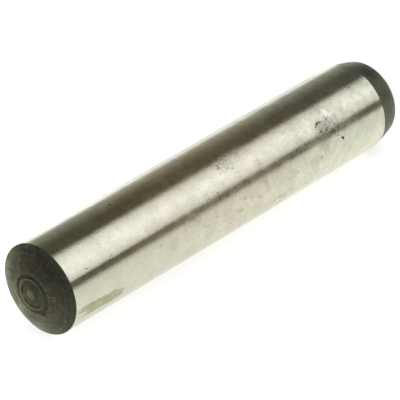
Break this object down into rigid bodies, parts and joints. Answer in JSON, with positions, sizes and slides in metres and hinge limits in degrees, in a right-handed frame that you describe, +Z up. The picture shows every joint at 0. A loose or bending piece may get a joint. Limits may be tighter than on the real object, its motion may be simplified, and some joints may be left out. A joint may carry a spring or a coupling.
{
  "type": "dowel pin",
  "caption": "Parallel steel dowel pin with a ground shank, a domed end and a tapered, rounded leading end, for locating two parts in line.",
  "frame": {"origin": "on the pin's axis, at the middle of the ground shank", "axes": "+X along the axis towards the tapered leading end, +Z up; the pin lies along X as it lies on a bench, and the domed end points to -X"},
  "size_m": [0.0522, 0.01, 0.01],
  "materials": {
    "ground_steel": "finely ground shank with a few dark pits and stains, with a dark, dull turned finish on both ends"
  },
  "bodies": {
    "root": {"dowel_pin": "ground_steel"}
  },
  "joints": []
}
